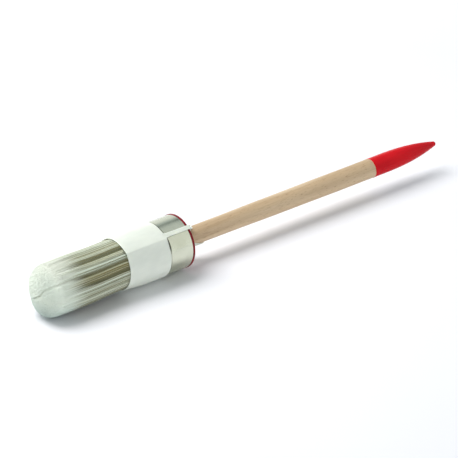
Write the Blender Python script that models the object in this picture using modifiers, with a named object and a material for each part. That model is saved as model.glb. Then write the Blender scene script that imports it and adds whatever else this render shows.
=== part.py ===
"""Round paint brush with a domed bristle bundle, a plated capsule ferrule, a turned beech handle with a
red dipped end, and a soft white bristle collar that is held to the handle's neck by two straps and a loop.

The brush lies on the ground, with its axis along +X from the bristle tips to the handle's end. Lengths along
it are counted from the ferrule's rear face, towards the handle; angles round it run from +Z towards -Y.
"""

import math

import bmesh
import bpy
from mathutils import Vector

MM = 0.001

# Driving dimensions, in millimetres
FERRULE_RADIUS = 15.35
FERRULE_WALL = 0.4
FERRULE_LENGTH = 23.0
FIT_GAP = 0.15                 # between pieces that touch on the real brush

FLANGE_THICKNESS = 0.7         # the red rim of the end cap, behind the ferrule's edge
CAP_DEPTH = 6.0

CORE_RADIUS = 7.0              # wooden core in the middle of the bristles
CORE_REACH = 34.0
EPOXY_DEPTH = 8.0

BRISTLE_NECK_RADIUS = 14.1     # where the collar squeezes the bundle
BRISTLE_BELLY_RADIUS = 15.0
BRISTLE_BELLY_AT = 77.0
BRISTLE_SHOULDER_AT = 85.5     # start of the dome
BRISTLE_LENGTH = 96.0          # from the ferrule's rear face to the tips

HANDLE_NECK_RADIUS = 5.25
HANDLE_END_RADIUS = 5.65
SPIGOT_RADIUS = 4.0
SPIGOT_DEPTH = 20.0
DIP_START = 140.6
DIP_COAT = 0.4
DIP_PROUD = 0.08
OGIVE_START = 150.7
OGIVE_LENGTH = 40.8
OGIVE_DROP = 0.785             # share of the radius lost over the ogive
NOSE_SHARE = 0.95              # where the round nose begins, along the ogive

COLLAR_REAR = 16.5             # the sleeve's two edges, in front of the ferrule's rear face
COLLAR_FRONT = 43.6
COLLAR_STRAIGHT_TO = 30.5      # in front of this the bore closes in
COLLAR_BORE = 15.47
COLLAR_FRONT_BORE = 14.41
COLLAR_WALL = 0.36
CREASE_HEIGHT = 0.9
CREASE_HALF_WIDTH = math.radians(26)
CREASE_ANGLE = math.radians(45)

STRAP_ANGLE = math.radians(37.5)
STRAP_WIDTH = 2.0
STRAP_THICKNESS = 0.7
STRAP_RADIUS = 15.85           # middle of the strap's thickness, over the ferrule
LOOP_RADIUS = 6.1              # middle of the loop's thickness
LOOP_WIDTH = 2.3
LOOP_MIDDLE = 10.5             # behind the ferrule's rear face
LOOP_LEAN = 6.0                # how far its near side leans forward of that, and its far side back
LOOP_LEAN_ANGLE = math.radians(40)
LOOP_BEND = 2.5                # how far the straps pull it back, between the places where they don't
MEET_TURN = math.radians(41)   # from a strap's own angle round to where it joins the loop

ROUND_STEPS = 48               # flats round the head; one flat faces straight down
HANDLE_STEPS = 32

HALF_FLAT = math.pi / ROUND_STEPS
AXIS_HEIGHT = (COLLAR_BORE + COLLAR_WALL) * math.cos(HALF_FLAT)


def nose_radius():
    return HANDLE_END_RADIUS * (1 - OGIVE_DROP * NOSE_SHARE**2) + DIP_PROUD


NOSE_START = OGIVE_START + NOSE_SHARE * OGIVE_LENGTH
HANDLE_LENGTH = NOSE_START + nose_radius()
MIDDLE = (HANDLE_LENGTH - BRISTLE_LENGTH) / 2


def clear_scene():
    for obj in list(bpy.data.objects):
        bpy.data.objects.remove(obj, do_unlink=True)


def collection(name):
    made = bpy.data.collections.new(name)
    bpy.context.scene.collection.children.link(made)
    return made


def material(name, colour, roughness, metallic=0.0):
    made = bpy.data.materials.new(name)
    made.use_nodes = True
    shader = made.node_tree.nodes["Principled BSDF"]
    shader.inputs["Base Color"].default_value = (*colour, 1.0)
    shader.inputs["Roughness"].default_value = roughness
    shader.inputs["Metallic"].default_value = metallic
    return made


def add_object(name, mesh, where, mat=None):
    obj = bpy.data.objects.new(name, mesh)
    where.objects.link(obj)
    if mat:
        mesh.materials.append(mat)
    return obj


def along(start, end, count):
    """Evenly spaced numbers from start to end, both included."""
    return [start + (end - start) * i / (count - 1) for i in range(count)]


def turned(name, profile, mat, steps=ROUND_STEPS, ring=False):
    """A lathe-turned piece. The profile is (radius, length) pairs from the handle's side to the bristles' side;
    a ring's profile closes on itself, and any other one starts and ends on the axis."""
    half_step = math.pi / steps
    mesh = bpy.data.meshes.new(name)
    points = [
        (r * MM * math.cos(half_step), r * MM * math.sin(half_step), s * MM)
        for r, s in profile
    ]
    edges = [(i, i + 1) for i in range(len(points) - 1)]
    if ring:
        edges.append((len(points) - 1, 0))
    mesh.from_pydata(points, edges, [])
    obj = add_object(name, mesh, brush, mat)
    obj.parent = axis
    screw = obj.modifiers.new("turn", "SCREW")
    screw.axis = "Z"
    screw.angle = math.tau
    screw.steps = steps
    screw.render_steps = steps
    screw.use_merge_vertices = True
    screw.merge_threshold = 1e-6
    screw.use_smooth_shade = True
    return obj


def handle_radius(s):
    """The handle's outer radius: a slim, almost straight body that ends in an ogive."""
    if s <= OGIVE_START:
        share = s / OGIVE_START
        return HANDLE_NECK_RADIUS + (HANDLE_END_RADIUS - HANDLE_NECK_RADIUS) * share
    share = (s - OGIVE_START) / OGIVE_LENGTH
    return HANDLE_END_RADIUS * (1 - OGIVE_DROP * share**2)


def nose(radius, centre, count=5):
    """A quarter circle from the axis out to the full radius, as (radius, length) pairs."""
    turns = along(0, math.pi / 2, count)
    return [(radius * math.sin(a), centre + radius * math.cos(a)) for a in turns]


def make_handle(mat):
    """Beech handle: spigot in the head, shoulder on the end cap, and a stepped-down end inside the red coat."""
    inset = DIP_COAT - DIP_PROUD + FIT_GAP
    tip = NOSE_START - 2.0
    profile = nose(handle_radius(tip) - inset, tip)
    profile += [(handle_radius(s) - inset, s) for s in along(tip, OGIVE_START, 9)[1:]]
    profile += [(handle_radius(DIP_START) - inset, DIP_START - FIT_GAP)]
    profile += [(handle_radius(DIP_START), DIP_START - FIT_GAP)]
    profile += [(handle_radius(s), s) for s in along(DIP_START, 1.2, 7)[1:]]
    profile += [(HANDLE_NECK_RADIUS - 0.5, FIT_GAP), (SPIGOT_RADIUS, FIT_GAP)]
    profile += [(SPIGOT_RADIUS, 1.0 - SPIGOT_DEPTH), (SPIGOT_RADIUS - 0.8, -SPIGOT_DEPTH), (0, -SPIGOT_DEPTH)]
    return turned("beech_handle", profile, mat, HANDLE_STEPS)


def make_dip(mat):
    """The red lacquer on the handle's end, a thin cup open towards the head."""
    stations = along(OGIVE_START, NOSE_START, 10)
    outer = nose(nose_radius(), NOSE_START)
    outer += [(handle_radius(s) + DIP_PROUD, s) for s in reversed(stations[:-1])]
    outer += [(handle_radius(DIP_START) + DIP_PROUD, DIP_START)]
    inset = DIP_COAT - DIP_PROUD
    inner = [(handle_radius(DIP_START) - inset, DIP_START)]
    inner += [(handle_radius(s) - inset, s) for s in stations[:-1]]
    tip = NOSE_START - 1.7
    inner += [(handle_radius(tip) - inset, tip)]
    inner += list(reversed(nose(handle_radius(tip) - inset, tip)))[1:]
    return turned("red_dipped_end", outer + inner, mat, HANDLE_STEPS)


def make_ferrule(mat):
    """Seamless capsule: a plain tube whose rear edge is turned in over the cap's plug."""
    bore = FERRULE_RADIUS - FERRULE_WALL
    rear = -FLANGE_THICKNESS - 0.1
    front = -FERRULE_LENGTH
    profile = [
        (bore, rear),
        (FERRULE_RADIUS - 0.15, rear),
        (FERRULE_RADIUS, rear - 0.2),
        (FERRULE_RADIUS, front + 0.2),
        (FERRULE_RADIUS - 0.15, front),
        (bore, front),
    ]
    return turned("ferrule", profile, mat, ring=True)


def make_end_cap(mat):
    """Red cap that closes the ferrule: a thin flange outside, a plug inside, and a bore for the spigot."""
    plug = FERRULE_RADIUS - FERRULE_WALL - FIT_GAP
    bore = SPIGOT_RADIUS + FIT_GAP
    profile = [
        (bore, 0),
        (FERRULE_RADIUS - 0.25, 0),
        (FERRULE_RADIUS, -0.2),
        (FERRULE_RADIUS, -FLANGE_THICKNESS),
        (plug, -FLANGE_THICKNESS),
        (plug, 0.5 - CAP_DEPTH),
        (plug - 0.5, -CAP_DEPTH),
        (bore, -CAP_DEPTH),
    ]
    return turned("ferrule_end_cap", profile, mat, ring=True)


def make_core(mat):
    """Wooden core that spreads the bristles round a paint reservoir; the spigot is driven into its bore."""
    bore = SPIGOT_RADIUS + FIT_GAP
    bottom = -SPIGOT_DEPTH - FIT_GAP
    profile = [(0, bottom), (bore, bottom), (bore, -CAP_DEPTH - FIT_GAP)]
    profile += [(CORE_RADIUS, -CAP_DEPTH - FIT_GAP), (CORE_RADIUS, 6.0 - CORE_REACH)]
    profile += [(0.6 * CORE_RADIUS, -CORE_REACH), (0, -CORE_REACH)]
    return turned("core_plug", profile, mat, HANDLE_STEPS)


def make_epoxy(mat):
    """The ring of cast resin that holds the bristles' roots."""
    outer = FERRULE_RADIUS - FERRULE_WALL - FIT_GAP
    inner = CORE_RADIUS + FIT_GAP
    rear = -CAP_DEPTH - FIT_GAP
    front = rear - EPOXY_DEPTH
    profile = [(inner, rear), (outer, rear), (outer, front), (inner, front)]
    return turned("epoxy_set", profile, mat, ring=True)


def bristle_radius(s):
    """Outer radius of the bundle at a length in front of the ferrule's rear face."""
    root = FERRULE_RADIUS - FERRULE_WALL - FIT_GAP
    stations = [
        (0.0, root),
        (FERRULE_LENGTH + 4.0, root),
        (37.0, 14.25),
        (COLLAR_FRONT, BRISTLE_NECK_RADIUS),
        (50.0, BRISTLE_NECK_RADIUS),
        (BRISTLE_BELLY_AT, BRISTLE_BELLY_RADIUS),
        (BRISTLE_SHOULDER_AT, BRISTLE_BELLY_RADIUS - 0.2),
    ]
    for (s0, r0), (s1, r1) in zip(stations, stations[1:]):
        if s <= s1:
            share = (s - s0) / (s1 - s0)
            return r0 + (r1 - r0) * share
    return stations[-1][1]


def make_bristles(mat):
    """The bristle bundle as one solid, with a hollow for the core and a domed end."""
    root = CAP_DEPTH + EPOXY_DEPTH + 3 * FIT_GAP
    hollow = CORE_RADIUS + FIT_GAP
    reach = CORE_REACH + FIT_GAP
    profile = [(0, -reach), (0.6 * hollow, -reach), (hollow, 6.0 - reach), (hollow, -root)]
    lengths = [root, FERRULE_LENGTH + 4.0, 37.0, COLLAR_FRONT, 50.0, 59.0, 68.0, BRISTLE_BELLY_AT, BRISTLE_SHOULDER_AT]
    profile += [(bristle_radius(s), -s) for s in lengths]
    depth = BRISTLE_LENGTH - BRISTLE_SHOULDER_AT
    shoulder = bristle_radius(BRISTLE_SHOULDER_AT)
    for turn in along(0, math.pi / 2, 9)[1:]:
        profile.append((shoulder * math.cos(turn), -BRISTLE_SHOULDER_AT - depth * math.sin(turn)))
    profile[-1] = (0, -BRISTLE_LENGTH)
    return turned("bristle_bundle", profile, mat)


def place(radius, angle, s):
    """World position of a point at a radius and angle round the brush's axis."""
    return Vector((
        (s - MIDDLE) * MM,
        -radius * math.sin(angle) * MM,
        (AXIS_HEIGHT + radius * math.cos(angle)) * MM,
    ))


def shell(name, mesh, thickness, where):
    """Gives an open surface its wall, half on each side."""
    obj = add_object(name, mesh, where)
    wall = obj.modifiers.new("wall", "SOLIDIFY")
    wall.thickness = thickness * MM
    wall.offset = 0.0
    wall.use_even_offset = True
    return obj


def tube_surface(name, steps, rows, position):
    """An open tube; position(angle, row) says where each point of it lies, rows running towards the handle."""
    work = bmesh.new()
    bmesh.ops.create_cone(work, segments=steps, radius1=1, radius2=1, depth=1)
    bmesh.ops.subdivide_edges(
        work, edges=[e for e in work.edges if abs(e.verts[0].co.z - e.verts[1].co.z) > 0.5], cuts=rows - 2
    )
    for vert in work.verts:
        side = round(math.atan2(vert.co.y, vert.co.x) / math.tau * steps)
        row = round((vert.co.z + 0.5) * (rows - 1))
        vert.co = position((side + 0.5) * math.tau / steps, row)
    bmesh.ops.recalc_face_normals(work, faces=work.faces)
    mesh = bpy.data.meshes.new(name)
    work.to_mesh(mesh)
    work.free()
    return mesh


def strip_surface(name, path):
    """An open ribbon along a path of (point, sideways direction) pairs."""
    work = bmesh.new()
    bmesh.ops.create_grid(work, x_segments=len(path) - 1, y_segments=1, size=1)
    for vert in work.verts:
        point, sideways = path[round((vert.co.x + 1) / 2 * (len(path) - 1))]
        vert.co = point + sideways * (vert.co.y * STRAP_WIDTH / 2 * MM)
    mesh = bpy.data.meshes.new(name)
    work.to_mesh(mesh)
    work.free()
    return mesh


def collar_bore(s):
    """Bore radius of the sleeve at a length in front of the ferrule's rear face."""
    if s <= COLLAR_STRAIGHT_TO:
        return COLLAR_BORE
    share = (s - COLLAR_STRAIGHT_TO) / (COLLAR_FRONT - COLLAR_STRAIGHT_TO)
    return COLLAR_BORE + (COLLAR_FRONT_BORE - COLLAR_BORE) * share


def crease(angle):
    """How far the sleeve's two folds, on opposite sides, stand off."""
    away = abs((angle - CREASE_ANGLE + math.pi / 2) % math.pi - math.pi / 2)
    return CREASE_HEIGHT * max(0.0, 1 - away / CREASE_HALF_WIDTH) ** 2


def make_sleeve(where):
    lengths = [COLLAR_FRONT, 37.3, COLLAR_STRAIGHT_TO, 24.0, COLLAR_REAR]

    def position(angle, row):
        s = lengths[row]
        return place(collar_bore(s) + COLLAR_WALL / 2 + crease(angle), angle, -s)

    mesh = tube_surface("bristle_collar", ROUND_STEPS, len(lengths), position)
    return shell("bristle_collar", mesh, COLLAR_WALL, where)


def loop_length(angle):
    """Where the leaning loop crosses an angle round the handle, behind the ferrule's rear face."""
    lean = LOOP_LEAN * math.cos(angle - LOOP_LEAN_ANGLE)
    return LOOP_MIDDLE - lean + LOOP_BEND * math.cos(2 * (angle - STRAP_ANGLE + MEET_TURN))


def make_loop(where):
    def position(angle, row):
        return place(LOOP_RADIUS, angle, loop_length(angle) + (row - 0.5) * LOOP_WIDTH)

    return shell("neck_loop", tube_surface("neck_loop", HANDLE_STEPS, 2, position), STRAP_THICKNESS, where)


def make_strap(name, angle, where):
    """From the sleeve's fold straight along the ferrule, over its rear edge and down to the loop."""
    middle_wall = COLLAR_BORE + COLLAR_WALL / 2 + crease(angle)
    meet_angle = angle - MEET_TURN
    meet = loop_length(meet_angle)
    stations = [
        (middle_wall, angle, -COLLAR_REAR - 1.2),
        (middle_wall, angle, -COLLAR_REAR + 0.4),
        (STRAP_RADIUS, angle, -COLLAR_REAR + 3.5),
        (STRAP_RADIUS, angle, 0.4),
        (STRAP_RADIUS - 0.35, angle, 1.2),
        (STRAP_RADIUS - 1.4, angle, 1.2 + (meet - 1.2) * 0.12),
    ]
    points = [place(*station) for station in stations]
    end = place(LOOP_RADIUS, meet_angle, meet)
    points += [points[-1].lerp(end, share) for share in (0.5, 1.0)]
    start_side = Vector((0, -math.cos(angle), -math.sin(angle)))
    end_side = Vector((0, -math.cos(meet_angle), -math.sin(meet_angle)))
    sides = [start_side] * 5 + [start_side.lerp(end_side, share).normalized() for share in (0.1, 0.6, 1.0)]
    return shell(name, strip_surface(name, list(zip(points, sides))), STRAP_THICKNESS, where)


def make_collar(mat):
    """Bristle collar: sleeve, two straps and neck loop, moulded in one piece."""
    sleeve = make_sleeve(brush)
    sleeve.data.materials.append(mat)
    parts = [make_loop(cutters)]
    parts += [
        make_strap(f"strap_{i + 1}", STRAP_ANGLE + i * math.pi, cutters)
        for i in range(2)
    ]
    for part in parts:
        part.hide_render = True
        part.display_type = "WIRE"
        join = sleeve.modifiers.new(f"join_{part.name}", "BOOLEAN")
        join.operation = "UNION"
        join.object = part
    return sleeve


clear_scene()
brush = collection("round_paint_brush")
cutters = collection("cutters")
axis = bpy.data.objects.new("brush_axis", None)
brush.objects.link(axis)
axis.location = (-MIDDLE * MM, 0, AXIS_HEIGHT * MM)
axis.rotation_euler = (0, math.pi / 2, 0)

make_handle(material("beech", (0.60, 0.43, 0.26), 0.55))
make_dip(material("red_lacquer", (0.62, 0.012, 0.016), 0.18))
make_ferrule(material("tin_plate", (0.72, 0.73, 0.68), 0.22, 1.0))
make_end_cap(material("red_cap", (0.45, 0.012, 0.02), 0.35))
make_core(material("core_wood", (0.62, 0.47, 0.30), 0.7))
make_epoxy(material("resin", (0.55, 0.42, 0.22), 0.3))
make_bristles(material("mixed_bristle", (0.50, 0.50, 0.40), 0.7))
make_collar(material("white_polythene", (0.86, 0.88, 0.83), 0.38))
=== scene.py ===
"""The looks of a round paint brush lying on a pale studio floor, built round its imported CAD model.

Lengths are in metres. Along the brush they are counted from the ferrule's rear face, towards the handle;
angles round its axis run from straight up towards the camera's side, -Y.
"""
import math

import bmesh
import bpy
import numpy as np
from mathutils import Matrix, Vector


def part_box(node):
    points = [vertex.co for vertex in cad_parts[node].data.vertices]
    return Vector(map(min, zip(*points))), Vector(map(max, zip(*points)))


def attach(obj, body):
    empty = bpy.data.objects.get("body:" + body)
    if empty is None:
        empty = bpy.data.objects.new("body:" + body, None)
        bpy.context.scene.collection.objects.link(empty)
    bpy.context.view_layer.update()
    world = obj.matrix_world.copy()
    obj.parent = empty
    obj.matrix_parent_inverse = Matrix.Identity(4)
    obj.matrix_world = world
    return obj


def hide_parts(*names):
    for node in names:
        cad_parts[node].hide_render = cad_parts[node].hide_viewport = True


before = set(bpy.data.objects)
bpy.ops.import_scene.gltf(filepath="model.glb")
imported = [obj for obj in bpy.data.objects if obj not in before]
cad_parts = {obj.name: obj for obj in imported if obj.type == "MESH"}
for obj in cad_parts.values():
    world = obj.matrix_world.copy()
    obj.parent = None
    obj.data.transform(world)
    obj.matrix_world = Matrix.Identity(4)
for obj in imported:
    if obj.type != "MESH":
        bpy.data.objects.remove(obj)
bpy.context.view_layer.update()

MM = 0.001
SEED = 7

# The view: a long lens, looking along the brush from its bristle end
VIEW_AZIMUTH = math.radians(-39.5)
VIEW_ELEVATION = math.radians(27.4)
VIEW_DISTANCE = 2.0
VIEW_WIDTH = 0.2508            # what the picture spans at the ferrule's rear face
AIM_RIGHT = 0.02848            # the middle of the picture, from the ferrule's rear face
AIM_UP = 0.00654

# Places read from the frame
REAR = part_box("ferrule_end_cap")[1].x
AXIS = sum(corner.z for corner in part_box("ferrule")) / 2
FLATS = 48                     # the CAD model's flats round the head
TO_ROUND = 1 / math.cos(math.pi / FLATS)


def start_of(node):
    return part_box(node)[0].x - REAR


def end_of(node):
    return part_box(node)[1].x - REAR


def radius_of(node):
    low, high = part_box(node)
    return (high.z - low.z) / 2 * TO_ROUND


FERRULE_RADIUS = radius_of("ferrule")
FERRULE_FRONT = start_of("ferrule")
RIM = end_of("ferrule")
TIPS = start_of("bristle_bundle")
BELLY_RADIUS = radius_of("bristle_bundle")
DIP_START = start_of("red_dipped_end")
COAT_PROUD = 0.08 * MM         # how far the CAD model's lacquer stands off its wood
HANDLE_END_RADIUS = radius_of("red_dipped_end") - COAT_PROUD
COLLAR_FRONT = start_of("bristle_collar")

# Sizes that the CAD boxes don't give
HANDLE_NECK_RADIUS = 5.25 * MM
SWELL_START = 30 * MM          # between here and the ogive the handle is up to SWELL thicker
SWELL = 0.15 * MM
OGIVE_START = 150.7 * MM
OGIVE_LENGTH = 40.8 * MM
OGIVE_DROP = 0.84              # share of the radius lost over the ogive
OGIVE_POWER = 2.3              # how late it is lost
NOSE_SHARE = 0.95              # where the round nose begins, along the ogive
BOW = 0.30 * MM                # how far the handle is bent towards SAG_ANGLE at its neck
BOW_LENGTH = 168 * MM          # where it is back on the axis
CUP_DEPTH = 8 * MM             # the hollow of the dip, which the wood's end lies in
COLLAR_REAR = -16.5 * MM
COLLAR_STRAIGHT_TO = -30.5 * MM  # in front of this the sleeve closes in
COLLAR_BORE = 15.47 * MM
COLLAR_FRONT_BORE = 14.41 * MM
COLLAR_WALL = 0.36 * MM
CREASE_HEIGHT = 0.9 * MM
CREASE_HALF_WIDTH = math.radians(26)
CREASE_ANGLE = math.radians(45)
STRAP_ANGLE = math.radians(38.5)
STRAP_RADIUS = 15.97 * MM      # middle of the strap's thickness, over the ferrule
STRAP_WIDTH = 2.5 * MM
STRAP_THICKNESS = 0.66 * MM
FRONT_SLANT = 0.2 * MM         # how far the sleeve's front edge leans to either side of square
LOOP_RADIUS = 5.95 * MM        # middle of the loop's thickness
LOOP_WIDTH = 2.3 * MM
LOOP_THICKNESS = 0.7 * MM
LOOP_MIDDLE = 10.5 * MM
LOOP_LEAN = 6 * MM             # how far its near side leans forward of that, and its far side back
LOOP_LEAN_ANGLE = math.radians(40)
LOOP_BEND = 2.5 * MM           # how far it bends back where the straps meet it
MEET_TURN = math.radians(41)   # from a strap's own angle back to where it joins the loop
SHOULDER = -85.5 * MM          # where the bristles' dome begins
SAG = 0.45 * MM                # how far the bristles hang off the axis, and the angle they hang towards
SAG_ANGLE = math.radians(146)
PARTING_ANGLE = math.radians(57)  # which way the line runs along which the tips part
PARTING_DEPTH = 1.1 * MM
WHITE_FROM = -72.0 * MM        # the hairs fade to white from here, over a length of WHITE_OVER
WHITE_OVER = 13 * MM
HEART_START = -20 * MM         # hidden roots of the bundle's heart, and of the hairs over it
HAIR_START = -34 * MM
INNER_HAIR_LENGTH = 9 * MM
GROOVE = -15.75 * MM           # a scribed line round the plate
GROOVE_HALF = 0.5 * MM
GROOVE_DEPTH = 0.03 * MM
GAP_SHADE_ANGLE = math.radians(56)  # where the painted shade in the groove is darkest, beside the sleeve's raised rear edge, and how far round that reaches
GAP_SHADE_REACH = math.radians(19)


# ---------------------------------------------------------------- shapes

def place(radius, angle, s):
    """Points in the frame for arrays of radius, angle round the axis and length along it."""
    radius, angle, s = np.broadcast_arrays(radius, angle, s)
    return np.stack([REAR + s, -radius * np.sin(angle), AXIS + radius * np.cos(angle)], axis=-1)


def outward_at(angle):
    """The direction away from the axis at each angle."""
    return place(1.0, angle, 0.0) - place(0.0, angle, 0.0)


def fold_distance(angle, fold):
    """Angle to the nearer of two folds that face each other."""
    return np.abs((angle - fold + math.pi / 2) % math.pi - math.pi / 2)


def points_of(piece):
    return np.array([vertex.co for vertex in piece.data.vertices])


def angle_of(points):
    """Angle round the axis of points in the frame."""
    return np.arctan2(-points[:, 1], points[:, 2] - AXIS)


def distance_of(points):
    """Distance from the axis of points in the frame."""
    return np.hypot(points[:, 1], points[:, 2] - AXIS)


def move_points(piece, points):
    piece.data.vertices.foreach_set("co", points.ravel())


def set_attribute(piece, name, values):
    layer = piece.data.attributes.new(name, "FLOAT", "POINT")
    layer.data.foreach_set("value", np.asarray(values, np.float32).ravel())


def add_mesh(name, points, faces, body, material):
    """A smooth piece from points and faces, riding on a CAD body."""
    mesh = bpy.data.meshes.new(name)
    mesh.from_pydata(np.asarray(points).reshape(-1, 3).tolist(), [], faces)
    mesh.shade_smooth()
    mesh.materials.append(material)
    piece = bpy.data.objects.new(name, mesh)
    bpy.context.scene.collection.objects.link(piece)
    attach(piece, body)
    return piece


def grid_faces(rows, cols, close_rows=False):
    """Quads over rows of points, each row a ring, stored one after another."""
    faces = []
    for i in range(rows if close_rows else rows - 1):
        for j in range(cols):
            i2, j2 = (i + 1) % rows, (j + 1) % cols
            faces.append((i * cols + j, i * cols + j2, i2 * cols + j2, i2 * cols + j))
    return faces


def weld(piece):
    """Joins coincident points, as on a lathe's axis, and points every face outwards."""
    distance = 1e-7
    work = bmesh.new()
    work.from_mesh(piece.data)
    bmesh.ops.remove_doubles(work, verts=work.verts, dist=distance)
    bmesh.ops.dissolve_degenerate(work, edges=work.edges, dist=distance)
    bmesh.ops.recalc_face_normals(work, faces=work.faces)
    work.to_mesh(piece.data)
    work.free()
    piece.data.shade_smooth()


def soften(profile, reach, count):
    """Rounds the corners of a closed (radius, length) outline with short curves."""
    points = [np.array(p, float) for p in profile]
    out = []
    for i, here in enumerate(points):
        before, after = points[i - 1], points[(i + 1) % len(points)]
        back = min(reach, np.linalg.norm(before - here) / 2)
        on = min(reach, np.linalg.norm(after - here) / 2)
        a = here + (before - here) / np.linalg.norm(before - here) * back
        b = here + (after - here) / np.linalg.norm(after - here) * on
        for t in np.linspace(0, 1, count):
            out.append((1 - t) ** 2 * a + 2 * t * (1 - t) * here + t**2 * b)
    return np.array(out)


def turned(name, profile, material, steps, ring=False, stray=None):
    """A lathe-turned piece of the brush. A ring's outline is closed, and stray(angle, s) adds a small
    change of radius."""
    profile = np.array(profile, float)
    angles = np.linspace(0, math.tau, steps, endpoint=False)[None, :]
    radius, s = profile[:, 0:1], profile[:, 1:2]
    off_axis = radius > 1e-6
    extra = stray(angles, s) * off_axis if stray else 0
    points = place(radius + extra, angles, s)
    piece = add_mesh(name, points, grid_faces(len(profile), steps, ring), "brush", material)
    weld(piece)
    return piece


def smooth_path(points, count):
    """Evenly spread points on a Catmull-Rom curve through the given ones."""
    p = np.array(points, float)
    p = np.vstack([2 * p[0] - p[1], p, 2 * p[-1] - p[-2]])
    spans = len(p) - 3
    out = []
    for u in np.linspace(0, spans, count):
        i = min(int(u), spans - 1)
        t = u - i
        a, b, c, d = p[i:i + 4]
        out.append(0.5 * (2 * b + (c - a) * t + (2 * a - 5 * b + 4 * c - d) * t**2
                          + (3 * b - 3 * c + d - a) * t**3))
    return np.array(out)


def unit(v):
    return v / np.linalg.norm(v, axis=-1, keepdims=True)


# ---------------------------------------------------------------- materials

def new_material(name, roughness, **sockets):
    """A material, its node tree and its Principled shader, with some of the shader's sockets set."""
    material = bpy.data.materials.new(name)
    material.use_nodes = True
    tree = material.node_tree
    shader = tree.nodes["Principled BSDF"]
    shader.inputs["Roughness"].default_value = roughness
    for key, value in sockets.items():
        shader.inputs[key.replace("_", " ")].default_value = value
    return material, tree, shader


def add_node(tree, kind, inputs=None, **settings):
    """One node; inputs are values or the output sockets that feed them."""
    node = tree.nodes.new("ShaderNode" + kind)
    for key, value in settings.items():
        setattr(node, key, value)
    for key, value in (inputs or {}).items():
        if isinstance(value, bpy.types.NodeSocket):
            tree.links.new(value, node.inputs[key])
        else:
            node.inputs[key].default_value = value
    return node


def object_point(tree, scale):
    """The point on the object, stretched by a scale for each axis."""
    here = add_node(tree, "TexCoord")
    return add_node(tree, "Mapping", {"Vector": here.outputs["Object"], "Scale": scale}).outputs["Vector"]


def noise(tree, scale, detail=3.0, roughness=0.55):
    """Noise from 0 to 1 in a stretched object space."""
    inputs = {"Vector": object_point(tree, scale), "Scale": 1.0, "Detail": detail, "Roughness": roughness}
    return add_node(tree, "TexNoise", inputs).outputs["Fac"]


def ramp(tree, factor, stops, smooth=True):
    """A colour ramp; stops are (position, colour) pairs, and a colour may be one number."""
    node = add_node(tree, "ValToRGB", {"Fac": factor})
    node.color_ramp.interpolation = "EASE" if smooth else "LINEAR"
    elements = node.color_ramp.elements
    while len(elements) < len(stops):
        elements.new(0.5)
    for element, (position, colour) in zip(elements, stops):
        element.position = position
        element.color = (colour,) * 3 + (1,) if isinstance(colour, (int, float)) else (*colour, 1)
    return node.outputs["Color"]


def mix(tree, factor, a, b):
    """From colour a, where the factor is 0, to colour b, where it is 1."""
    node = add_node(tree, "Mix", data_type="RGBA")
    for socket, value in (("Factor", factor), ("A", a), ("B", b)):
        target = next(i for i in node.inputs if i.name == socket and i.enabled)
        if isinstance(value, bpy.types.NodeSocket):
            tree.links.new(value, target)
        else:
            target.default_value = value if socket == "Factor" else (*value, 1)
    return next(o for o in node.outputs if o.enabled)


def math_node(tree, operation, a, b):
    return add_node(tree, "Math", {0: a, 1: b}, operation=operation).outputs[0]


def rise(tree, value, start, end):
    """From 0, where a value is start, to 1, where it is end. End may lie below start."""
    inputs = {"Value": value, "From Min": start, "From Max": end}
    return add_node(tree, "MapRange", inputs).outputs["Result"]


def attribute(tree, name):
    return add_node(tree, "Attribute", attribute_name=name).outputs["Fac"]


def bump(tree, shader, height, strength, distance):
    node = add_node(tree, "Bump", {"Height": height, "Strength": strength, "Distance": distance})
    tree.links.new(node.outputs["Normal"], shader.inputs["Normal"])


def make_beech():
    """Planed beech: pale ground, long soft grain, and the short dark flecks of its rays."""
    material, tree, shader = new_material("beech_wood", 0.5, Specular_IOR_Level=0.5)
    grain = noise(tree, (14, 420, 420), 5.0, 0.6)
    broad = noise(tree, (9, 110, 110), 2.0, 0.5)
    flecks = noise(tree, (330, 3600, 3600), 1.0, 0.4)
    ground = ramp(tree, grain, [
        (0.25, (0.44, 0.295, 0.168)),
        (0.5, (0.61, 0.45, 0.285)),
        (0.8, (0.73, 0.57, 0.39)),
    ])
    ground = mix(tree, ramp(tree, broad, [(0.38, 0.0), (0.66, 0.6)]), ground, (0.46, 0.305, 0.17))
    colour = mix(tree, ramp(tree, flecks, [(0.60, 0.0), (0.74, 0.65)]), ground, (0.30, 0.17, 0.085))
    tree.links.new(colour, shader.inputs["Base Color"])
    tree.links.new(ramp(tree, grain, [(0.2, 0.62), (0.8, 0.44)]), shader.inputs["Roughness"])
    bump(tree, shader, math_node(tree, "SUBTRACT", grain, flecks), 0.25, 0.00012)
    return material


def make_lacquer():
    """Red dipped lacquer, smooth, with a faint unevenness of thickness. It throws hardly any red light on
    the floor."""
    material, tree, shader = new_material("red_lacquer_gloss", 0.22, Specular_IOR_Level=0.08)
    depth = noise(tree, (40, 120, 120), 2.0)
    colour = ramp(tree, depth, [(0.3, (0.54, 0.005, 0.012)), (0.7, (0.65, 0.008, 0.014))])
    bounced = add_node(tree, "LightPath").outputs["Is Diffuse Ray"]
    colour = mix(tree, bounced, colour, (0.60, 0.50, 0.47))
    tree.links.new(colour, shader.inputs["Base Color"])
    bump(tree, shader, noise(tree, (260, 500, 500), 1.0), 0.06, 0.0001)
    return material


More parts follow.
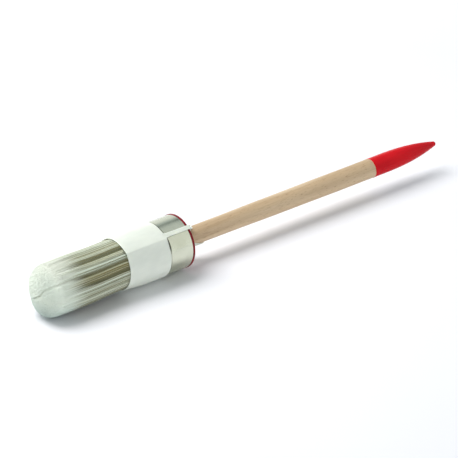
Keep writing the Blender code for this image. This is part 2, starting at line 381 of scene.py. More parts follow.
def make_plate():
    """Tin plate, rolled round: fine scratches round the tube, soft smudges, and painted shade in its
    groove, where the sleeve's rear edge stands off the plate.
    """
    material, tree, shader = new_material("tin_plate_bright", 0.25, Metallic=1.0)
    lines = noise(tree, (5200, 60, 60), 3.0, 0.6)
    smudge = noise(tree, (90, 90, 90), 3.0, 0.5)
    colour = ramp(tree, smudge, [(0.3, (0.60, 0.62, 0.50)), (0.7, (0.68, 0.70, 0.57))])
    # Painted shade: the dark line in the groove beside the sleeve's raised rear edge
    colour = mix(tree, attribute(tree, "grime_and_painted_shade"), colour, (0.03, 0.032, 0.022))
    tree.links.new(colour, shader.inputs["Base Color"])
    tree.links.new(ramp(tree, smudge, [(0.3, 0.16), (0.75, 0.28)]), shader.inputs["Roughness"])
    bump(tree, shader, lines, 0.05, 0.00005)
    return material


def make_cap_red():
    """The moulded red end cap, a little duller than the lacquer."""
    material, tree, shader = new_material("red_cap_moulded", 0.35, Specular_IOR_Level=0.15)
    grime_and_painted_shade = noise(tree, (300, 300, 300), 3.0)
    colour = ramp(tree, grime_and_painted_shade, [(0.3, (0.16, 0.007, 0.013)), (0.7, (0.26, 0.012, 0.020))])
    tree.links.new(colour, shader.inputs["Base Color"])
    tree.links.new(ramp(tree, grime_and_painted_shade, [(0.3, 0.42), (0.7, 0.30)]), shader.inputs["Roughness"])
    return material


def make_polythene():
    """Soft white polythene film: waxy, faintly cool, with shallow moulding waves."""
    material, tree, shader = new_material("white_polythene_soft", 0.4, Specular_IOR_Level=0.4)
    shader.inputs["Subsurface Weight"].default_value = 0.25
    shader.inputs["Subsurface Scale"].default_value = 1.5 * MM
    shader.inputs["Subsurface Radius"].default_value = (1.0, 1.0, 0.8)
    waves = noise(tree, (70, 160, 160), 2.0)
    fine = noise(tree, (900, 900, 900), 2.0)
    colour = ramp(tree, waves, [(0.3, (0.76, 0.79, 0.695)), (0.7, (0.82, 0.85, 0.745))])
    tree.links.new(colour, shader.inputs["Base Color"])
    tree.links.new(ramp(tree, fine, [(0.3, 0.44), (0.7, 0.34)]), shader.inputs["Roughness"])
    bump(tree, shader, waves, 0.25, 0.0003)
    return material


def filament_white(tree, streaks):
    """The white of the hairs' tips, with painted shade: cooler and darker near the floor, a little duller
    along the top, and greyer on the near side of the bundle's end."""
    here = add_node(tree, "SeparateXYZ", {"Vector": object_point(tree, (1, 1, 1))}).outputs
    above_floor = rise(tree, here["Z"], 1 * MM, 14 * MM)
    white = mix(tree, streaks, (0.87, 0.935, 0.81), (0.95, 0.98, 0.88))
    # Painted shade: darker and cooler near the floor
    white = mix(tree, above_floor, (0.56, 0.67, 0.615), white)
    top = rise(tree, here["Z"], 22 * MM, 30 * MM)
    # Painted shade: a little duller along the top
    white = mix(tree, top, white, (0.82, 0.84, 0.735))
    # Painted shade: greyer on the near side of the bundle's end
    end = rise(tree, here["X"], REAR + TIPS + 6.4 * MM, REAR + TIPS + 2.4 * MM)
    near_side = rise(tree, here["Y"], 3 * MM, -6 * MM)
    painted_shade_grey = mix(tree, above_floor, (0.44, 0.53, 0.485), (0.77, 0.82, 0.72))
    return mix(tree, math_node(tree, "MULTIPLY", end, near_side), white, painted_shade_grey)


def make_bristle(name, shade=None):
    """Mixed filament: each hair has its own tone and warmth, and all fade to white towards their tips.
    Shade, from 0 to 1, darkens the coloured part as painted shade of the gaps between hairs."""
    material, tree, shader = new_material(
        name, 0.5, Specular_IOR_Level=0.3, Sheen_Weight=0.35, Sheen_Roughness=0.45
    )
    streaks = noise(tree, (26, 900, 900), 3.0, 0.6)
    offset = math_node(tree, "MULTIPLY", math_node(tree, "SUBTRACT", streaks, 0.5), 0.3)
    tone = math_node(tree, "ADD", attribute(tree, "tone"), offset)
    cool = ramp(tree, tone, [
        (0.05, (0.14, 0.14, 0.060)),
        (0.3, (0.28, 0.29, 0.165)),
        (0.6, (0.61, 0.625, 0.49)),
        (0.9, (0.80, 0.87, 0.745)),
    ], smooth=False)
    warm = ramp(tree, tone, [
        (0.05, (0.15, 0.125, 0.040)),
        (0.3, (0.30, 0.25, 0.095)),
        (0.6, (0.55, 0.50, 0.26)),
        (0.9, (0.84, 0.84, 0.64)),
    ], smooth=False)
    hair = mix(tree, attribute(tree, "warmth"), cool, warm)
    if shade:
        # Painted shade of the deep gaps between hairs
        hair = mix(tree, shade, hair, (0.07, 0.075, 0.04))
    colour = mix(tree, attribute(tree, "tip"), hair, filament_white(tree, streaks))
    tree.links.new(colour, shader.inputs["Base Color"])
    return material


def make_inner_wood():
    material, tree, shader = new_material("core_wood_plain", 0.7)
    grain = noise(tree, (30, 500, 500), 4.0)
    colour = ramp(tree, grain, [(0.3, (0.50, 0.36, 0.22)), (0.7, (0.66, 0.50, 0.33))])
    tree.links.new(colour, shader.inputs["Base Color"])
    return material


def make_resin():
    material, tree, shader = new_material("cast_resin", 0.25, Coat_Weight=0.5)
    cloud = noise(tree, (160, 160, 160), 4.0)
    colour = ramp(tree, cloud, [(0.3, (0.40, 0.28, 0.10)), (0.7, (0.60, 0.46, 0.24))])
    tree.links.new(colour, shader.inputs["Base Color"])
    return material


# ---------------------------------------------------------------- the handle

def handle_radius(s):
    share = np.clip(s / OGIVE_START, 0, 1)
    body = HANDLE_NECK_RADIUS + (HANDLE_END_RADIUS - HANDLE_NECK_RADIUS) * share
    along = np.clip((s - SWELL_START) / (OGIVE_START - SWELL_START), 0, 1)
    body = body + SWELL * np.sin(math.pi * along) ** 2
    drop = np.clip((s - OGIVE_START) / OGIVE_LENGTH, 0, 1)
    return np.where(s <= OGIVE_START, body, HANDLE_END_RADIUS * (1 - OGIVE_DROP * drop**OGIVE_POWER))


def bow(points):
    """Bends handle points by a fraction of a millimetre, as long thin wood is never quite straight."""
    s = points[:, 0] - REAR
    aside = BOW * (1 - (np.clip(s, 0, None) / BOW_LENGTH) ** 4)
    points[:, 1] -= aside * math.sin(SAG_ANGLE)
    points[:, 2] += aside * math.cos(SAG_ANGLE)
    return points


def turning_marks(angle, s):
    """The small unevenness that sanding leaves on a long thin turned handle."""
    depth = 0.03 * MM
    return depth * np.sin(2 * angle + 60 * s) + depth * np.sin(s * 130 + np.cos(angle))


def make_handle(material):
    """The wood, from just behind the ferrule's rear face to a little inside the dip."""
    neck = HANDLE_NECK_RADIUS
    inside_dip = DIP_START + 3.2 * MM
    lengths = np.linspace(0.9 * MM, DIP_START + 3 * MM, 90)
    profile = [(0, 0.15 * MM), (neck - 0.7 * MM, 0.15 * MM), (neck - 0.2 * MM, 0.4 * MM)]
    profile += [(float(handle_radius(s)), s) for s in lengths]
    profile += [(HANDLE_END_RADIUS - 0.5 * MM, inside_dip), (0, inside_dip)]
    handle = turned("handle", profile, material, 96, stray=turning_marks)
    move_points(handle, bow(points_of(handle)))
    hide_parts("beech_handle")


def ragged_edge(angle, s):
    """How far the dip's edge strays along the handle, fading out over a few millimetres of the dip."""
    fade = np.clip(1 - (s - DIP_START) / (4 * MM), 0, 1)
    return fade * 0.3 * MM * (np.sin(angle - 0.6) + 0.5 * np.sin(3 * angle + 1) + 0.25 * np.sin(7 * angle))


def make_dip(material):
    """The lacquer coat, whose edge runs a little unevenly round the wood, as a dipped edge does."""
    coat = 0.1 * MM
    buried = 0.4 * MM
    nose_start = OGIVE_START + NOSE_SHARE * OGIVE_LENGTH
    nose_radius = float(handle_radius(nose_start)) + COAT_PROUD
    turns = np.linspace(0, math.pi / 2, 9)
    profile = [(nose_radius * math.sin(a), nose_start + nose_radius * math.cos(a)) for a in turns]
    lengths = np.linspace(nose_start, DIP_START + 0.5 * MM, 60)[1:]
    profile += [(float(handle_radius(s)) + coat, s) for s in lengths]
    edge = float(handle_radius(DIP_START))
    profile += [(edge + coat, DIP_START + 0.25 * MM), (edge + coat / 2, DIP_START + 0.06 * MM)]
    profile += [(edge - coat, DIP_START), (edge - buried, DIP_START + 0.3 * MM)]
    profile += [(edge - buried, DIP_START + CUP_DEPTH), (0, DIP_START + CUP_DEPTH)]
    dip = turned("dipped_end", profile, material, 96)
    points = points_of(dip)
    points[:, 0] += ragged_edge(angle_of(points), points[:, 0] - REAR)
    move_points(dip, bow(points))
    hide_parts("red_dipped_end")


# ---------------------------------------------------------------- the ferrule

def plate_waves(angle, s):
    """The slight unevenness of rolled plate."""
    return 0.015 * MM * np.sin(5 * angle + 90 * s) + 0.01 * MM * np.sin(11 * angle - 140 * s)


def groove_share(s):
    """How deep in the groove a length lies, from 0 to 1."""
    return np.clip(1 - ((s - GROOVE) / GROOVE_HALF) ** 2, 0, 1)


def painted_gap_shade(points):
    """Painted shade on the plate: a dark line in the groove, where the sleeve's rear edge stands off the
    plate, widest beside each strap and faint elsewhere.
    """
    beside = np.exp(-(fold_distance(angle_of(points), GAP_SHADE_ANGLE) / GAP_SHADE_REACH) ** 4)
    strength = 0.35 + 0.65 * beside
    half = GROOVE_HALF * (0.6 + strength)
    gap_shade = np.clip(1 - ((points[:, 0] - REAR - GROOVE) / half) ** 2, 0, 1)
    outer = distance_of(points) > FERRULE_RADIUS - 0.3 * MM
    return gap_shade**0.5 * strength * outer


def make_ferrule(material):
    """The capsule: drawn tube with softly rolled edges and a scribed line with painted shade in it."""
    wall = 0.4 * MM
    bore = FERRULE_RADIUS - wall
    corner_points = 6
    outline = [(bore, RIM), (FERRULE_RADIUS, RIM), (FERRULE_RADIUS, FERRULE_FRONT), (bore, FERRULE_FRONT)]
    rounded = soften(outline, 0.18 * MM, corner_points)
    lengths = np.linspace(RIM - wall, FERRULE_FRONT + wall, 120)
    outside = [(FERRULE_RADIUS - GROOVE_DEPTH * float(groove_share(s)), s) for s in lengths]
    rear_edge, front_edge = rounded[:2 * corner_points], rounded[2 * corner_points:]
    profile = np.vstack([rear_edge, outside, front_edge])
    ferrule = turned("capsule", profile, material, 192, ring=True, stray=plate_waves)
    # Painted shade along the groove, beside the sleeve's raised rear edge
    set_attribute(ferrule, "grime_and_painted_shade", painted_gap_shade(points_of(ferrule)))
    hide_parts("ferrule")


def make_cap(material):
    """The red cap's flange behind the plate's edge, and its slightly dished rear face."""
    flange = RIM + 0.06 * MM
    back = 0.5 * MM
    proud = FERRULE_RADIUS + 0.2 * MM
    dished = back - 0.5 * MM
    hole = HANDLE_NECK_RADIUS - 0.4 * MM
    plug = FERRULE_RADIUS - 0.6 * MM
    plug_end = -5.5 * MM
    outline = [
        (hole, back - 0.1 * MM),
        (HANDLE_NECK_RADIUS + 1.5 * MM, dished),
        (FERRULE_RADIUS - 2.2 * MM, dished),
        (FERRULE_RADIUS - 1.2 * MM, back),
        (proud, back),
        (proud, flange),
        (plug, flange),
        (plug, plug_end),
        (hole, plug_end),
    ]
    cap = turned("end_cap", soften(outline, 0.22 * MM, 5), material, 192, ring=True)
    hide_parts("ferrule_end_cap")


# ---------------------------------------------------------------- the collar

def sleeve_radius(angle, s):
    """Bore of the sleeve: straight over the ferrule, closing in over the bristles, lifted at two folds."""
    share = np.clip((COLLAR_STRAIGHT_TO - s) / (COLLAR_STRAIGHT_TO - COLLAR_FRONT), 0, 1)
    bore = COLLAR_BORE + (COLLAR_FRONT_BORE - COLLAR_BORE) * share
    away = fold_distance(angle, CREASE_ANGLE)
    ridge = CREASE_HEIGHT * np.clip(1 - away / CREASE_HALF_WIDTH, 0, 1) ** 2
    ripple = 0.05 * MM * np.sin(3 * angle + 1.3 + 40 * s) + 0.04 * MM * np.sin(7 * angle - 70 * s)
    return bore + ridge + np.abs(ripple)


def sleeve_rows(front, rear):
    """Rings of the sleeve's wall: height over its bore and length, along the outside and back along the
    bore. The bead lies at a share of the length behind the front edge."""
    bead_place, bead_reach = 0.02536, 0.02174
    rows = []
    shares = np.linspace(0, 1, 40)
    for share in shares:
        bead = 0.14 * MM * math.exp(-((share - bead_place) / bead_reach) ** 2)
        rows.append((COLLAR_WALL + bead, front + (rear - front) * share))
    rows += [(COLLAR_WALL * height, rear + 0.07 * MM) for height in (0.8, 0.3)]
    rows += [(0.0, front + (rear - front) * share) for share in shares[::-1]]
    rows += [(COLLAR_WALL * height, front - 0.09 * MM) for height in (0.3, 0.9)]
    return rows


def make_sleeve(material):
    """A closed thin wall, with a small bead at the front edge and a tongue at each strap's root."""
    steps = 288
    angles = np.linspace(0, math.tau, steps, endpoint=False)[None, :]
    tongue = 0.7 * MM * np.exp(-(fold_distance(angles, STRAP_ANGLE) / math.radians(4.2)) ** 2)
    front = COLLAR_FRONT + FRONT_SLANT * (1 - np.cos(angles - SAG_ANGLE))
    rows = sleeve_rows(front, COLLAR_REAR + tongue)
    points = np.array([place(sleeve_radius(angles, s) + height, angles, s)[0] for height, s in rows])
    faces = grid_faces(len(rows), steps, close_rows=True)
    sleeve = add_mesh("collar_sleeve", points, faces, "collar", material)
    weld(sleeve)
    return sleeve


def band(name, centres, outward, half_widths, half_thicknesses, material, groove=0.0, closed=False):
    """A band with rounded edges, swept along a path, its broad face towards outward. A groove may run down
    the middle of that face."""
    if closed:
        ahead = np.roll(centres, -1, axis=0) - np.roll(centres, 1, axis=0)
    else:
        ahead = np.gradient(centres, axis=0)
    sides = unit(np.cross(unit(ahead), outward))
    normals = unit(np.cross(sides, unit(ahead)))
    section = np.linspace(0, math.tau, 24, endpoint=False)
    across = np.sign(np.cos(section)) * np.abs(np.cos(section)) ** 0.55
    out = np.sign(np.sin(section)) * np.abs(np.sin(section)) ** 0.55
    out = out - groove * np.exp(-(across / 0.35) ** 2) * (out > 0)
    points = (
        centres[:, None, :]
        + across[None, :, None] * sides[:, None, :] * half_widths[:, None, None]
        + out[None, :, None] * normals[:, None, :] * half_thicknesses[:, None, None]
    )
    faces = grid_faces(len(centres), len(section), closed)
    if not closed:
        faces.append(tuple(range(len(section))))
        faces.append(tuple(range((len(centres) - 1) * len(section), len(centres) * len(section))))
    weld(add_mesh(name, points, faces, "collar", material))


def loop_length(angle):
    """The loop leans, its near side close to the cap, and bends back a little where the straps meet it."""
    lean = LOOP_LEAN * np.cos(angle - LOOP_LEAN_ANGLE)
    return LOOP_MIDDLE - lean + LOOP_BEND * np.cos(2 * (angle - STRAP_ANGLE + MEET_TURN))


def make_loop(material):
    angle = np.linspace(0, math.tau, 96, endpoint=False)
    centres = place(LOOP_RADIUS, angle, loop_length(angle))
    half_width = np.full(len(angle), LOOP_WIDTH / 2)
    half_thick = np.full(len(angle), LOOP_THICKNESS / 2)
    band("collar_loop", centres, outward_at(angle), half_width, half_thick, material, closed=True)


def make_strap(name, angle, material):
    """From the sleeve along the ferrule, over the ferrule's rear edge, and down to the side of the loop."""
    root = float(sleeve_radius(angle, COLLAR_REAR)) + COLLAR_WALL / 2
    meet_angle = angle - MEET_TURN
    meet = float(loop_length(meet_angle))
    points = [place(radius, angle, s) for radius, s in (
        (root, COLLAR_REAR - 1.0 * MM),
        (root, COLLAR_REAR + 0.8 * MM),
        (STRAP_RADIUS + 0.15 * MM, COLLAR_REAR + 4.5 * MM),
        (STRAP_RADIUS, -8 * MM),
        (STRAP_RADIUS, -1.5 * MM),
        (STRAP_RADIUS + 0.1 * MM, 0.7 * MM),
        (STRAP_RADIUS - 1.3 * MM, 2.1 * MM),
    )]
    end = place(LOOP_RADIUS, meet_angle, meet)
    points += [(points[-1] + end) / 2, end]
    centres = smooth_path(points, 90)
    turn = np.clip((centres[:, 0] - REAR) / meet, 0, 1)
    outward = outward_at(angle + (meet_angle - angle) * turn)
    from_root = np.linalg.norm(np.diff(centres, axis=0, prepend=centres[:1]), axis=1).cumsum()
    flare = 1 + 0.5 * np.exp(-(from_root / (1.6 * MM)) ** 2)
    half_thick = np.where(from_root < 1.5 * MM, COLLAR_WALL * 0.6, STRAP_THICKNESS / 2)
    band(name, centres, outward, STRAP_WIDTH / 2 * flare, half_thick, material, groove=0.45)


def make_collar(material):
    sleeve = make_sleeve(material)
    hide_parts("bristle_collar")
    make_loop(material)
    make_strap("collar_strap_near", STRAP_ANGLE, material)
    make_strap("collar_strap_far", STRAP_ANGLE + math.pi, material)


# ---------------------------------------------------------------- the bristles

# Length and radius of the bundle's outline, in millimetres
BRISTLE_OUTLINE = [
    (-30.0, 14.55), (-37.0, 14.0), (-44.1, 14.05), (-50.0, 14.05), (-59.0, 14.3), (-68.0, 14.65),
    (-77.0, 14.85), (-87.0, 14.75), (-99.0, 14.4),
]

# Bands of like-coloured hairs round the bundle: middle and half width in degrees, tone from 0, dark, to 1,
# white, and warmth from 0, grey-green, to 1, golden brown
STREAKS = [
    (-16, 10, 0.95, 0.1), (-4, 4, 0.46, 0.1), (4, 4, 0.62, 0.1), (12, 4, 0.60, 0.2), (17, 2, 0.60, 0.3),
    (21, 3, 0.28, 0.3), (27, 5, 0.05, 0.3), (34, 3, 0.84, 0.1), (40, 2, 0.50, 0.1), (46, 5, 0.90, 0.0),
    (57, 4, 0.07, 0.4), (64, 4, 0.76, 1.0), (70, 3, 0.14, 0.7), (76, 5, 0.06, 0.5), (86, 4, 0.55, 0.2),
    (92, 3, 0.46, 0.1), (98, 3, 0.52, 0.1), (104, 2, 0.30, 0.2), (113, 5, 0.44, 0.1), (122, 4, 0.32, 0.0),
    (131, 6, 0.34, 0.1), (145, 6, 0.34, 0.5), (160, 5, 0.12, 0.6),
    (172, 4, 0.78, 0.1), (183, 5, 0.50, 0.3), (193, 3, 0.10, 0.3), (203, 5, 0.85, 0.0), (216, 4, 0.30, 0.9),
    (227, 4, 0.08, 0.4), (238, 5, 0.70, 0.1), (250, 4, 0.52, 0.4), (259, 3, 0.14, 0.6), (268, 5, 0.82, 0.1),
    (281, 5, 0.45, 0.5), (292, 4, 0.10, 0.2), (303, 5, 0.75, 0.1), (315, 4, 0.35, 0.8), (326, 6, 0.80, 0.1),
]

# Within the bands the hairs lie in narrow strands, each a little lighter or darker than the next
STRANDS = np.random.default_rng(SEED + 1).normal(0, 0.13, 240)


def bundle_radius(s):
    lengths, radii = np.array(BRISTLE_OUTLINE[::-1]).T
    return np.interp(s / MM, lengths, radii) * MM


def place_bristle(radius, angle, s):
    """As place, with the free end of the bundle hanging a little off the axis."""
    free = np.clip((COLLAR_FRONT - s) / (22 * MM), 0, 1)
    hang = SAG * free * free * (3 - 2 * free)
    way = np.array([0, -math.sin(SAG_ANGLE), math.cos(SAG_ANGLE)])
    return place(radius, angle, s) + hang[..., None] * way


def dome_end(share, angle):
    """Where a hair ends: share is its distance from the axis over the bundle's radius. The side towards the
    floor is fuller than the upper side."""
    low = np.clip(np.cos(angle - SAG_ANGLE), 0, 1)
    power = 2.4 + 1.9 * low
    depth = (SHOULDER - TIPS) * (1 - np.clip(share, 0, 1) ** power) ** (1 / power)
    return SHOULDER - depth


def parting(share, angle):
    """1 on the winding line where the hairs part, falling to 0 on both sides of it and towards its ends."""
    along = share * np.cos(angle - PARTING_ANGLE)
    across = share * np.sin(angle - PARTING_ANGLE)
    line = 0.02 - 0.075 * np.tanh((along - 0.33) / 0.12)
    strength = np.clip((along + 0.5) * 4, 0, 1) * (0.75 - 0.25 * np.tanh((along - 0.4) / 0.1))
    return np.exp(-((across - line) * BELLY_RADIUS / (0.55 * MM)) ** 2) * strength


def streak_values(angle):
    """Tone and warmth of the band that an angle falls in, shaded by its strand. Plain mixed hair lies
    between the bands."""
    degrees = np.degrees(angle) % 360
    weight = np.full(degrees.shape, 0.15)
    tone, warmth = 0.5 * weight, 0.3 * weight
    for middle, half, band_tone, band_warmth in STREAKS:
        away = np.abs((degrees - middle + 180) % 360 - 180)
        share = np.exp(-((away / half) ** 4))
        weight = weight + share
        tone = tone + band_tone * share
        warmth = warmth + band_warmth * share
    strand = STRANDS[(degrees / 360 * len(STRANDS)).astype(int) % len(STRANDS)]
    tone = tone / weight
    return np.clip(tone + strand * np.clip(0.2 + 1.4 * tone, 0, 1), 0, 1), warmth / weight


def whiteness(s, start):
    """How far a hair has faded to white, from 0 to 1."""
    fade = np.clip((start - s) / WHITE_OVER, 0, 1)
    return fade * fade * (3 - 2 * fade)


def set_bake_map(piece, across, along):
    """A map of the surface for baking, from two values for each point."""
    layer = piece.data.uv_layers.new(name="OFBake")
    corners = np.empty(len(piece.data.loops), np.int32)
    piece.data.loops.foreach_get("vertex_index", corners)
    values = np.stack([np.ravel(across), np.ravel(along)], axis=-1)[corners]
    layer.data.foreach_set("uv", values.astype(np.float32).ravel())


def cut_slope(share, angle):
    """How steeply the dome's surface runs back towards its edge, which is how the hairs' ends are cut."""
    step = 0.004
    inside = np.clip(share, step, 1 - step)
    climb = dome_end(inside + step, angle) - dome_end(inside - step, angle)
    return np.clip(climb / (2 * step * BELLY_RADIUS), 0, 3)


def lay_hairs(count, along, sector, shares, start, rng):
    """Where hairs run: each one's angle and share at its root, and its angle, distance from the axis and
    length at every station along it. They wander, clump a little, part, and end along the dome."""
    wander_turn, clump_turn, parted_turn = 0.009, 0.011, 0.03
    root_angle = sector[0] + (sector[1] - sector[0]) * (np.arange(count) + rng.random(count)) / count
    share = shares(rng, count)
    ends = dome_end(share, root_angle) + PARTING_DEPTH * parting(share, root_angle)
    ends = ends + np.clip(rng.normal(0.1, 0.18, count), -0.3, 0.7) * MM
    starts = start(ends)
    s = starts[:, None] + (ends - starts)[:, None] * along
    free = np.clip((s - COLLAR_FRONT) / (ends[:, None] - COLLAR_FRONT), 0, 1)
    wave = np.sin(free * 5 + 6 * rng.random((count, 1)))
    wander = rng.normal(0, 1, (count, 1)) * free + 0.4 * rng.normal(0, 1, (count, 1)) * wave * free
    clump = np.sin(root_angle * 29 + 2 * np.sin(root_angle * 7))[:, None]
    apart = np.sin(root_angle - PARTING_ANGLE)[:, None]
    aside = parted_turn * np.sign(apart) * np.exp(-(apart / 0.12) ** 2) * free**3
    angle = root_angle[:, None] + wander_turn * wander - clump_turn * clump * free**2 + aside
    radial = share[:, None] * bundle_radius(s) * (1 - 0.006 * np.abs(rng.normal(0, 1, (count, 1))) * free)
    return root_angle, share, angle, radial, s


def hair_points(root_angle, share, angle, radial, s, half, rng):
    """Three points round every station of each hair. The last three are slanted to lie along the dome."""
    outward = outward_at(angle)
    sideways = np.cross(np.array([1.0, 0, 0]), outward)
    corners = rng.random((len(share), 1, 1)) * math.tau + np.arange(3)[None, None, :] * math.tau / 3
    section = (
        np.cos(corners)[..., None] * outward[:, :, None, :]
        + np.sin(corners)[..., None] * sideways[:, :, None, :]
    )
    points = place_bristle(radial, angle, s)[:, :, None, :] + half[:, :, None, None] * section
    points[:, -1, :, 0] += cut_slope(share, root_angle)[:, None] * half[:, -1:] * np.cos(corners[:, 0])
    return points


def hair_faces(count, stations):
    """The quads of the hairs' sides, and the triangles that close their two ends."""
    ring = np.arange(3)
    base = (np.arange(count)[:, None, None] * stations + np.arange(stations - 1)[None, :, None]) * 3
    a = base + ring
    b = base + (ring + 1) % 3
    quads = np.stack([a, b, b + 3, a + 3], axis=-1).reshape(-1, 4).tolist()
    first = [hair * stations * 3 for hair in range(count)]
    last = [f + (stations - 1) * 3 for f in first]
    return quads, [(f, f + 2, f + 1) for f in first] + [(f, f + 1, f + 2) for f in last]


def colour_hairs(piece, root_angle, share, s, rng):
    """Each hair's tone and warmth, with a spread of their own, and how white it is along its length. The
    hairs on top whiten a little sooner, and those along the parting stay less white, a painted shade of the
    crease there."""
    count, stations = s.shape
    tone, warmth = streak_values(root_angle)
    tone = np.clip(tone + rng.normal(0, 0.17, count), 0, 1)
    warmth = np.clip(warmth + rng.normal(0, 0.2, count), 0, 1)
    white_from = WHITE_FROM + 2.0 * MM * rng.normal(0, 1, (count, 1))
    near_top = np.exp(-(np.sin(root_angle / 2) / 0.22) ** 2)[:, None]
    # Painted shade: less white along the parting
    white = whiteness(s, white_from + 4.0 * MM * near_top) * (1 - 0.4 * parting(share, root_angle))[:, None]
    set_attribute(piece, "tone", np.repeat(tone, stations * 3))
    set_attribute(piece, "warmth", np.repeat(warmth, stations * 3))
    set_attribute(piece, "tip", np.repeat(white, 3))


def map_from_side(piece, points):
    """Bake map for hairs that show all along: side by side, each from root to tip."""
    count, stations = points.shape[:2]
    across = (np.arange(count)[:, None, None] + 0.5 + 0.35 * (np.arange(3) - 1)) / count
    along = np.linspace(0.01, 0.99, stations)[None, :, None]
    set_bake_map(piece, *np.broadcast_arrays(across, along))


def map_from_end(piece, points):
    """Bake map for hairs that show their ends only: as seen along the axis."""
    flat = points.reshape(-1, 3)
    width = 2.3 * BELLY_RADIUS
    set_bake_map(piece, 0.5 + flat[:, 1] / width, 0.5 + (flat[:, 2] - AXIS) / width)


def hairs(name, material, sector, rng, count, stations, shares, start, thickness, end_taper, bake_map):
    """Many thin hairs as one mesh, between the two angles of a sector. shares draws their places, from 0 on
    the axis to 1 outside, start says where hairs with given ends begin, and end_taper is the thickness of
    their ends as a share."""
    along = np.linspace(0, 1, stations)[None, :] ** 0.9
    root_angle, share, angle, radial, s = lay_hairs(count, along, sector, shares, start, rng)
    taper = np.interp(along, [0, 0.75, 1], [1, 0.5 + 0.5 * end_taper, end_taper])
    half = thickness * (0.75 + 0.5 * rng.random((count, 1))) * taper / 2
    points = hair_points(root_angle, share, angle, radial, s, half, rng)
    sides, ends = hair_faces(count, stations)
    piece = add_mesh(name, points, sides + ends, "brush", material)
    piece.data.polygons.foreach_set("use_smooth", [True] * len(sides) + [False] * len(ends))
    colour_hairs(piece, root_angle, share, s, rng)
    bake_map(piece, points)


def from_ferrule(ends):
    return np.full(len(ends), HAIR_START)


def from_inside(ends):
    return ends + INNER_HAIR_LENGTH


def outer_shares(rng, count):
    """Places in the bundle's outermost layer."""
    return 1 - 0.05 * rng.random(count) ** 0.8


def inner_shares(rng, count):
    """Places spread evenly over the bundle's section."""
    return np.sqrt(rng.random(count)) * 0.97


def heart_outline(depth):
    """The heart's sides, a little deeper towards the roots, and a flat end that is domed afterwards."""
    lengths = np.linspace(HEART_START, SHOULDER, 40)
    deeper = 1 + 0.7 * np.linspace(1, 0, 40)
    sides = [(float(bundle_radius(s)) - depth * more, s) for s, more in zip(lengths, deeper)]
    turns = np.linspace(0, math.pi / 2, 16)
    end_radius = float(bundle_radius(SHOULDER)) - depth
    end = [(share * end_radius, SHOULDER) for share in np.cos(turns[1:-1])]
    return [(0, HEART_START)] + sides + end + [(0, SHOULDER)]


def make_bundle_heart(material):
    """The dense inside of the bundle, just under the hairs that show. Its dome stays less white along the
    parting, a painted shade of the crease there.
    """
    depth = 0.35 * MM
    heart = turned("bristle_heart", heart_outline(depth), material, 180)
    points = points_of(heart)
    angle, radius, s = angle_of(points), distance_of(points), points[:, 0] - REAR
    domed = np.abs(s - SHOULDER) < 0.01 * MM
    share = radius / (float(bundle_radius(SHOULDER)) - depth)
    parted = parting(share, angle)
    under = 0.55 * MM * (1 - share**8) + 1.3 * MM * parted
    s = np.where(domed, dome_end(share, angle) + under, s)
    move_points(heart, place_bristle(radius, angle, s))
    tone, warmth = streak_values(angle)
    set_attribute(heart, "tone", tone)
    set_attribute(heart, "warmth", warmth)
    # Painted shade: the dome less white along the parting
    set_attribute(heart, "tip", whiteness(s, WHITE_FROM) * (1 - 0.5 * domed * parted))
    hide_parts("bristle_bundle")


def make_bristles():
    """The heart, and about 8,000 hairs in six sectors: long ones outside, short ones that fill the dome."""
    rng = np.random.default_rng(SEED)
    hair = make_bristle("mixed_filament")
    # The heart's colour is darkened as painted shade of the gaps between the hairs over it
    make_bundle_heart(make_bristle("mixed_filament_painted_shade", 0.45))
    sectors = 6
    for k in range(sectors):
        sector = (k * math.tau / sectors, (k + 1) * math.tau / sectors)
        hairs(
            f"bristles_outer_{k + 1}", hair, sector, rng, count=320, stations=15, shares=outer_shares,
            start=from_ferrule, thickness=0.40 * MM, end_taper=0.6, bake_map=map_from_side,
        )
        hairs(
            f"bristles_inner_{k + 1}", hair, sector, rng, count=1000, stations=4, shares=inner_shares,
            start=from_inside, thickness=0.52 * MM, end_taper=1.0, bake_map=map_from_end,
        )


# ---------------------------------------------------------------- studio

def make_camera():
    a, e = VIEW_AZIMUTH, VIEW_ELEVATION
    back = Vector((math.sin(a) * math.cos(e), -math.cos(a) * math.cos(e), math.sin(e)))
    turn = (-back).to_track_quat("-Z", "Y")
    aim = Vector((REAR, 0, AXIS)) + turn @ Vector((AIM_RIGHT, AIM_UP, 0))
    data = bpy.data.cameras.new("camera")
    data.sensor_width = 36.0
    data.lens = data.sensor_width * VIEW_DISTANCE / VIEW_WIDTH
    camera = bpy.data.objects.new("camera", data)
    camera.location = aim + back * VIEW_DISTANCE
    camera.rotation_mode = "QUATERNION"
    camera.rotation_quaternion = turn
    bpy.context.scene.collection.objects.link(camera)
    bpy.context.scene.camera = camera


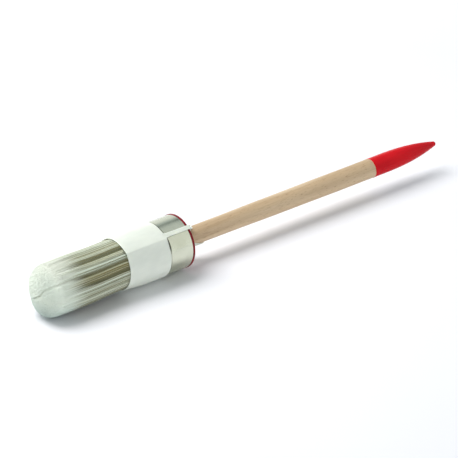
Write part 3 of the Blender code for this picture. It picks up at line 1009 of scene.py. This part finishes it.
def make_floor():
    """A plain pale floor. It glows a little further away, where the overhead light no longer reaches, so
    that it looks the same all over and in the plate's reflection."""
    material, tree, shader = new_material("studio_floor", 0.9, Specular_IOR_Level=0.1)
    cloud = noise(tree, (3, 3, 3), 2.0)
    pale = ramp(tree, cloud, [(0.3, (0.883, 0.868, 0.905)), (0.7, (0.893, 0.878, 0.915))])
    tree.links.new(pale, shader.inputs["Base Color"])
    here = object_point(tree, (1, 1, 1))
    away = add_node(tree, "VectorMath", {0: here}, operation="LENGTH").outputs["Value"]
    glow_inputs = {"Value": away, "From Min": 0.28, "From Max": 1.5, "To Max": 0.66}
    glow = add_node(tree, "MapRange", glow_inputs).outputs["Result"]
    shader.inputs["Emission Color"].default_value = (1, 1, 1, 1)
    tree.links.new(glow, shader.inputs["Emission Strength"])
    mesh = bpy.data.meshes.new("floor")
    half = 6.0
    corners = [(-half, -half, 0), (half, -half, 0), (half, half, 0), (-half, half, 0)]
    mesh.from_pydata(corners, [], [(0, 1, 2, 3)])
    mesh.materials.append(material)
    floor = bpy.data.objects.new("floor", mesh)
    bpy.context.scene.collection.objects.link(floor)


def make_light(name, where, towards, size, power, colour):
    data = bpy.data.lights.new(name, "AREA")
    data.shape = "DISK"
    data.size = size
    data.energy = power
    data.color = colour
    light = bpy.data.objects.new(name, data)
    light.location = where
    light.rotation_mode = "QUATERNION"
    light.rotation_quaternion = (Vector(towards) - Vector(where)).to_track_quat("-Z", "Y")
    bpy.context.scene.collection.objects.link(light)


def room_light(tree):
    """The light from each direction: bright walls, dim and grey overhead, brighter past the bristles' tips.
    Beyond the handle's end are long bright, grey and dark panels for the plate to mirror."""
    direction = add_node(tree, "TexCoord").outputs["Generated"]
    parts = add_node(tree, "SeparateXYZ", {"Vector": direction}).outputs
    across = rise(tree, parts["Y"], -1.0, 1.0)
    panels = ramp(tree, across, [
        (0.10, (0.93, 0.95, 0.93)),
        (0.28, (0.93, 0.95, 0.93)),
        (0.47, (0.66, 0.70, 0.72)),
        (0.64, (0.60, 0.65, 0.66)),
        (0.73, (0.20, 0.24, 0.24)),
        (0.80, (0.56, 0.62, 0.64)),
        (0.88, (0.98, 1.0, 1.0)),
    ], smooth=False)
    ceiling = ramp(tree, across, [(0.35, (0.12, 0.14, 0.14)), (0.68, (0.48, 0.54, 0.56))])
    far_side = ramp(tree, across, [(0.42, 0.0), (0.62, 1.0)])
    past_tips = mix(tree, far_side, (0.14, 0.16, 0.16), (0.95, 0.98, 0.94))
    ceiling = mix(tree, rise(tree, parts["X"], -0.3, -0.7), ceiling, past_tips)
    overhead = ramp(tree, parts["Z"], [(0.28, 0.0), (0.44, 1.0)])
    walls = mix(tree, overhead, (1.26, 1.40, 1.41), ceiling)
    return mix(tree, rise(tree, parts["X"], 0.25, 0.45), walls, panels)


def make_world():
    """A room of light, of which the camera sees only plain white past the floor."""
    world = bpy.data.worlds.new("studio")
    bpy.context.scene.world = world
    world.use_nodes = True
    tree = world.node_tree
    room = tree.nodes["Background"]
    room.inputs["Strength"].default_value = 1.0
    tree.links.new(room_light(tree), room.inputs["Color"])
    white = add_node(tree, "Background", {"Color": (1, 1, 1, 1), "Strength": 1.0})
    path = add_node(tree, "LightPath")
    shown = add_node(tree, "MixShader", {0: path.outputs["Is Camera Ray"]})
    tree.links.new(room.outputs[0], shown.inputs[1])
    tree.links.new(white.outputs[0], shown.inputs[2])
    tree.links.new(shown.outputs[0], tree.nodes["World Output"].inputs["Surface"])
    bpy.context.scene.view_settings.view_transform = "Standard"


make_camera()
make_world()
make_floor()
make_light(
    "overhead", where=(-0.27, 0.38, 0.90), towards=(-0.03, 0, 0),
    size=0.78, power=9.35, colour=(1.0, 1.0, 0.99),
)

make_handle(make_beech())
make_dip(make_lacquer())
make_ferrule(make_plate())
make_cap(make_cap_red())
make_collar(make_polythene())
make_bristles()
for node, finish in (("core_plug", make_inner_wood()), ("epoxy_set", make_resin())):
    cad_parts[node].data.materials.clear()
    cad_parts[node].data.materials.append(finish)

bpy.context.view_layer.update()
